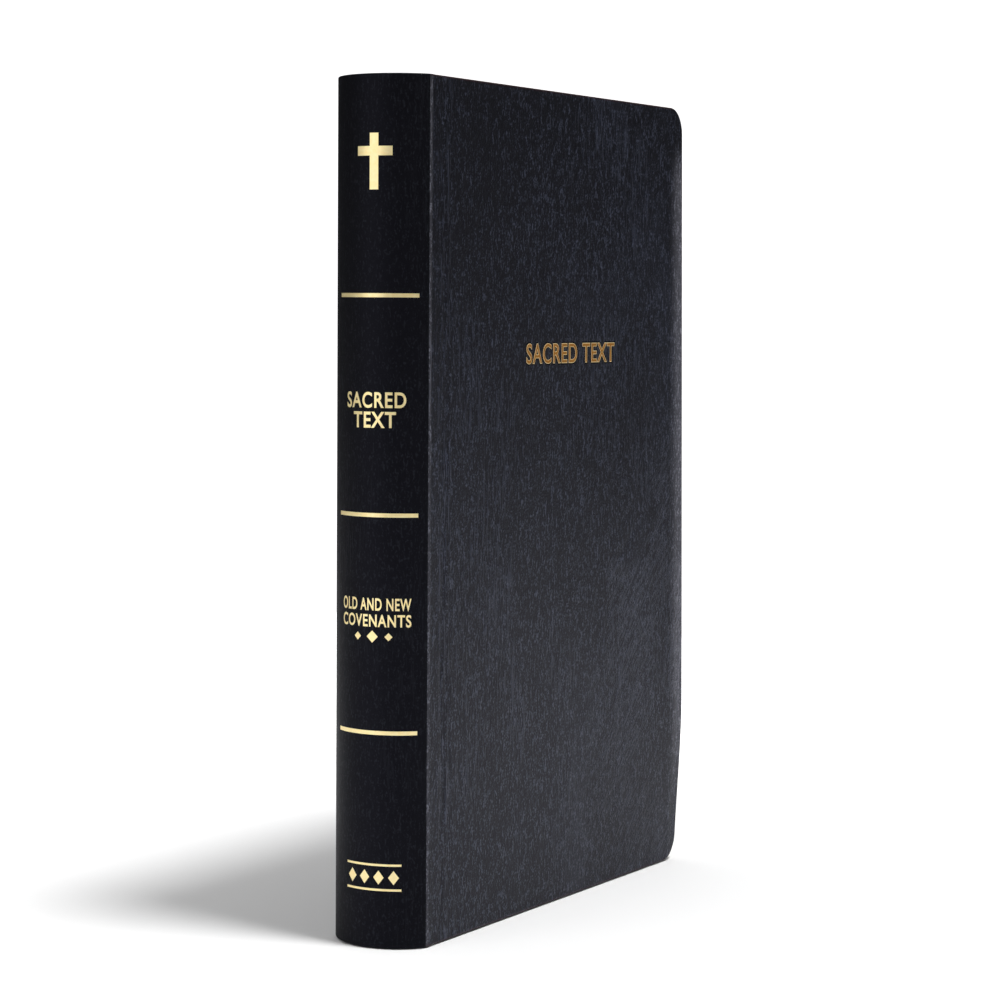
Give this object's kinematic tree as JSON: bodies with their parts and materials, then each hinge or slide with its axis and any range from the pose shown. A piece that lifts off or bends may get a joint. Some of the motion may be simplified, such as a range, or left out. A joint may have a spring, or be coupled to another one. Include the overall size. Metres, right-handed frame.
{
  "type": "bible",
  "caption": "Upright round-backed bible in a limp black imitation-leather case, with hinged covers and sewn signatures that fan open.",
  "frame": {"origin": "bottom centre of the closed book, on the surface it stands on", "axes": "+Z from tail to head, spine towards -X, front cover facing -Y, fore edge towards +X"},
  "size_m": [0.142, 0.0268, 0.2134],
  "materials": {
    "cover_leather": "black imitation leather with a vertical crease grain and a low sheen",
    "spine_leather": "black imitation leather, pulled smooth over the spine, satin",
    "gold_foil": "stamped gold foil, soft metallic",
    "board": "thin flexible liner board",
    "endpaper": "plain heavy endpaper, matt",
    "bible_paper": "thin off-white bible paper, matt",
    "kraft_paper": "brown lining paper, matt",
    "mull": "open-weave cotton mull",
    "adhesive": "flexible binding adhesive",
    "thread": "white sewing thread",
    "band_cotton": "black worked cotton band"
  },
  "bodies": {
    "book_spine": {"spine_leather": "spine_leather", "spine_rules": "gold_foil", "spine_inlay": "kraft_paper", "spine_lining_paper": "kraft_paper", "spine_mull": "mull", "spine_adhesive": "adhesive", "sewing_thread": "thread", "head_band": "band_cotton", "tail_band": "band_cotton", "signature_folds": "bible_paper", "front_flyleaf_stub": "endpaper", "back_flyleaf_stub": "endpaper"},
    "front_cover": {"front_cover_leather": "cover_leather", "front_cover_board": "board", "front_pastedown": "endpaper"},
    "front_flyleaf": {"front_flyleaf": "endpaper"},
    "signature_01": {"signature_01": "bible_paper"},
    "signature_02": {"signature_02": "bible_paper"},
    "signature_03": {"signature_03": "bible_paper"},
    "signature_04": {"signature_04": "bible_paper"},
    "signature_05": {"signature_05": "bible_paper"},
    "signature_06": {"signature_06": "bible_paper"},
    "signature_07": {"signature_07": "bible_paper"},
    "signature_08": {"signature_08": "bible_paper"},
    "signature_09": {"signature_09": "bible_paper"},
    "back_cover": {"back_cover_leather": "cover_leather", "back_cover_board": "board", "back_pastedown": "endpaper"},
    "back_flyleaf": {"back_flyleaf": "endpaper"},
    "signature_18": {"signature_18": "bible_paper"},
    "signature_17": {"signature_17": "bible_paper"},
    "signature_16": {"signature_16": "bible_paper"},
    "signature_15": {"signature_15": "bible_paper"},
    "signature_14": {"signature_14": "bible_paper"},
    "signature_13": {"signature_13": "bible_paper"},
    "signature_12": {"signature_12": "bible_paper"},
    "signature_11": {"signature_11": "bible_paper"},
    "signature_10": {"signature_10": "bible_paper"}
  },
  "joints": [
    {"name": "front_cover_hinge", "type": "hinge", "parent": "book_spine", "child": "front_cover", "pos_m": [-0.0633, -0.01345, 0.1067], "axis": [0, 0, -1], "range_deg": [0, 175]},
    {"name": "front_flyleaf_turn", "type": "hinge", "parent": "book_spine", "child": "front_flyleaf", "pos_m": [-0.0555, -0.01207, 0.1067], "axis": [0, 0, -1], "range_deg": [0, 158]},
    {"name": "signature_01_turn", "type": "hinge", "parent": "book_spine", "child": "signature_01", "pos_m": [-0.05487, -0.01188, 0.1067], "axis": [0, 0, -1], "range_deg": [0, 141.5]},
    {"name": "signature_02_turn", "type": "hinge", "parent": "book_spine", "child": "signature_02", "pos_m": [-0.0523, -0.01056, 0.1067], "axis": [0, 0, -1], "range_deg": [0, 125]},
    {"name": "signature_03_turn", "type": "hinge", "parent": "book_spine", "child": "signature_03", "pos_m": [-0.05042, -0.00924, 0.1067], "axis": [0, 0, -1], "range_deg": [0, 108.5]},
    {"name": "signature_04_turn", "type": "hinge", "parent": "book_spine", "child": "signature_04", "pos_m": [-0.04901, -0.00792, 0.1067], "axis": [0, 0, -1], "range_deg": [0, 92]},
    {"name": "signature_05_turn", "type": "hinge", "parent": "book_spine", "child": "signature_05", "pos_m": [-0.04794, -0.0066, 0.1067], "axis": [0, 0, -1], "range_deg": [0, 75.5]},
    {"name": "signature_06_turn", "type": "hinge", "parent": "book_spine", "child": "signature_06", "pos_m": [-0.04716, -0.00528, 0.1067], "axis": [0, 0, -1], "range_deg": [0, 59]},
    {"name": "signature_07_turn", "type": "hinge", "parent": "book_spine", "child": "signature_07", "pos_m": [-0.04663, -0.00396, 0.1067], "axis": [0, 0, -1], "range_deg": [0, 42.5]},
    {"name": "signature_08_turn", "type": "hinge", "parent": "book_spine", "child": "signature_08", "pos_m": [-0.04635, -0.00264, 0.1067], "axis": [0, 0, -1], "range_deg": [0, 26]},
    {"name": "signature_09_turn", "type": "hinge", "parent": "book_spine", "child": "signature_09", "pos_m": [-0.04625, -0.00132, 0.1067], "axis": [0, 0, -1], "range_deg": [0, 9.5]},
    {"name": "back_cover_hinge", "type": "hinge", "parent": "book_spine", "child": "back_cover", "pos_m": [-0.0633, 0.01345, 0.1067], "axis": [0, 0, 1], "range_deg": [0, 175]},
    {"name": "back_flyleaf_turn", "type": "hinge", "parent": "book_spine", "child": "back_flyleaf", "pos_m": [-0.0555, 0.01207, 0.1067], "axis": [0, 0, 1], "range_deg": [0, 158]},
    {"name": "signature_18_turn", "type": "hinge", "parent": "book_spine", "child": "signature_18", "pos_m": [-0.05487, 0.01188, 0.1067], "axis": [0, 0, 1], "range_deg": [0, 141.5]},
    {"name": "signature_17_turn", "type": "hinge", "parent": "book_spine", "child": "signature_17", "pos_m": [-0.0523, 0.01056, 0.1067], "axis": [0, 0, 1], "range_deg": [0, 125]},
    {"name": "signature_16_turn", "type": "hinge", "parent": "book_spine", "child": "signature_16", "pos_m": [-0.05042, 0.00924, 0.1067], "axis": [0, 0, 1], "range_deg": [0, 108.5]},
    {"name": "signature_15_turn", "type": "hinge", "parent": "book_spine", "child": "signature_15", "pos_m": [-0.04901, 0.00792, 0.1067], "axis": [0, 0, 1], "range_deg": [0, 92]},
    {"name": "signature_14_turn", "type": "hinge", "parent": "book_spine", "child": "signature_14", "pos_m": [-0.04794, 0.0066, 0.1067], "axis": [0, 0, 1], "range_deg": [0, 75.5]},
    {"name": "signature_13_turn", "type": "hinge", "parent": "book_spine", "child": "signature_13", "pos_m": [-0.04716, 0.00528, 0.1067], "axis": [0, 0, 1], "range_deg": [0, 59]},
    {"name": "signature_12_turn", "type": "hinge", "parent": "book_spine", "child": "signature_12", "pos_m": [-0.04663, 0.00396, 0.1067], "axis": [0, 0, 1], "range_deg": [0, 42.5]},
    {"name": "signature_11_turn", "type": "hinge", "parent": "book_spine", "child": "signature_11", "pos_m": [-0.04635, 0.00264, 0.1067], "axis": [0, 0, 1], "range_deg": [0, 26]},
    {"name": "signature_10_turn", "type": "hinge", "parent": "book_spine", "child": "signature_10", "pos_m": [-0.04625, 0.00132, 0.1067], "axis": [0, 0, 1], "range_deg": [0, 9.5]}
  ],
  "couplings": [
    {"joint": "front_flyleaf_turn", "follows": "front_cover_hinge", "ratio": 0.90286},
    {"joint": "signature_01_turn", "follows": "front_cover_hinge", "ratio": 0.80857},
    {"joint": "signature_02_turn", "follows": "front_cover_hinge", "ratio": 0.71428},
    {"joint": "signature_03_turn", "follows": "front_cover_hinge", "ratio": 0.62},
    {"joint": "signature_04_turn", "follows": "front_cover_hinge", "ratio": 0.52571},
    {"joint": "signature_05_turn", "follows": "front_cover_hinge", "ratio": 0.43143},
    {"joint": "signature_06_turn", "follows": "front_cover_hinge", "ratio": 0.33714},
    {"joint": "signature_07_turn", "follows": "front_cover_hinge", "ratio": 0.24286},
    {"joint": "signature_08_turn", "follows": "front_cover_hinge", "ratio": 0.14857},
    {"joint": "signature_09_turn", "follows": "front_cover_hinge", "ratio": 0.054285},
    {"joint": "back_flyleaf_turn", "follows": "back_cover_hinge", "ratio": 0.90286},
    {"joint": "signature_18_turn", "follows": "back_cover_hinge", "ratio": 0.80857},
    {"joint": "signature_17_turn", "follows": "back_cover_hinge", "ratio": 0.71428},
    {"joint": "signature_16_turn", "follows": "back_cover_hinge", "ratio": 0.62},
    {"joint": "signature_15_turn", "follows": "back_cover_hinge", "ratio": 0.52571},
    {"joint": "signature_14_turn", "follows": "back_cover_hinge", "ratio": 0.43143},
    {"joint": "signature_13_turn", "follows": "back_cover_hinge", "ratio": 0.33714},
    {"joint": "signature_12_turn", "follows": "back_cover_hinge", "ratio": 0.24286},
    {"joint": "signature_11_turn", "follows": "back_cover_hinge", "ratio": 0.14857},
    {"joint": "signature_10_turn", "follows": "back_cover_hinge", "ratio": 0.054285}
  ]
}
